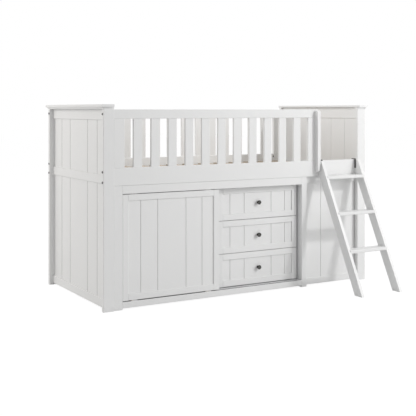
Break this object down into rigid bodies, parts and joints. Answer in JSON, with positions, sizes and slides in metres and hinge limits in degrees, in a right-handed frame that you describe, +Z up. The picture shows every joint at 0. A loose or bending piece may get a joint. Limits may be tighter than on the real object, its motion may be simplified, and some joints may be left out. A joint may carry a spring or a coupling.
{
  "type": "low loft bed",
  "caption": "Low loft bed in white painted wood: panelled ends, slatted guards, a cabinet with sliding door and drawers under the bed, and a sloping hook-on ladder.",
  "frame": {"origin": "on the floor, in the middle of the bed's box with the ladder in place", "axes": "+X along the bed to the right as seen from the front, -Y to the front, +Z up"},
  "size_m": [2.08, 1.466, 1.264],
  "materials": {
    "white_paint": "sprayed satin white paint on wood",
    "white_board": "white faced board",
    "bare_timber": "planed bare pine",
    "drawer_board": "pale laminated board",
    "knob_metal": "polished metal",
    "dark_steel": "blackened steel",
    "bright_steel": "zinc plated steel",
    "track_metal": "grey anodised aluminium",
    "nylon": "natural nylon"
  },
  "bodies": {
    "bed": {"left_front_post": "white_paint", "left_rear_post": "white_paint", "right_rear_post": "white_paint", "right_front_post": "white_paint", "left_end_rails": "white_paint", "right_end_rails": "white_paint", "left_end_panels": "white_paint", "right_end_panels": "white_paint", "left_cap": "white_paint", "right_cap": "white_paint", "left_cap_cove": "white_paint", "right_cap_cove": "white_paint", "front_side_rail": "white_paint", "rear_side_rail": "white_paint", "front_guard_rail": "white_paint", "rear_guard_rail": "white_paint", "front_guard_stiles": "white_paint", "rear_guard_stiles": "white_paint", "front_guard_slats": "white_paint", "rear_guard_slats": "white_paint", "grab_batten": "white_paint", "cabinet_stiles": "white_paint", "cabinet_face_rails": "white_paint", "bay_rails": "white_paint", "bay_panel": "white_paint", "bed_ledgers": "bare_timber", "bed_slats": "bare_timber", "cabinet_left_side": "white_board", "cabinet_right_side": "white_board", "cabinet_floor": "white_board", "cabinet_top": "white_board", "cabinet_back": "white_board", "cabinet_divider": "white_board", "bed_bolts": "dark_steel", "barrel_nuts": "dark_steel", "door_tracks": "track_metal", "drawer_runners": "bright_steel"},
    "door": {"door_frame": "white_paint", "door_panel": "white_paint", "door_glides": "nylon"},
    "bottom_drawer": {"bottom_drawer_frame": "white_paint", "bottom_drawer_panel": "white_paint", "bottom_drawer_knob": "knob_metal", "bottom_drawer_box": "drawer_board", "bottom_drawer_slides": "bright_steel"},
    "middle_drawer": {"middle_drawer_frame": "white_paint", "middle_drawer_panel": "white_paint", "middle_drawer_knob": "knob_metal", "middle_drawer_box": "drawer_board", "middle_drawer_slides": "bright_steel"},
    "top_drawer": {"top_drawer_frame": "white_paint", "top_drawer_panel": "white_paint", "top_drawer_knob": "knob_metal", "top_drawer_box": "drawer_board", "top_drawer_slides": "bright_steel"},
    "ladder": {"ladder_left_stringer": "white_paint", "ladder_right_stringer": "white_paint", "ladder_treads": "white_paint", "ladder_hooks": "dark_steel"}
  },
  "joints": [
    {"name": "door_slide", "type": "slide", "parent": "bed", "child": "door", "axis": [-1, 0, 0], "range_m": [-0.66, 0]},
    {"name": "bottom_drawer_slide", "type": "slide", "parent": "bed", "child": "bottom_drawer", "axis": [0, -1, 0], "range_m": [0, 0.32]},
    {"name": "middle_drawer_slide", "type": "slide", "parent": "bed", "child": "middle_drawer", "axis": [0, -1, 0], "range_m": [0, 0.32]},
    {"name": "top_drawer_slide", "type": "slide", "parent": "bed", "child": "top_drawer", "axis": [0, -1, 0], "range_m": [0, 0.32]},
    {"name": "ladder_lift", "type": "slide", "parent": "bed", "child": "ladder", "axis": [0, 0, 1], "range_m": [0, 0.06]}
  ]
}
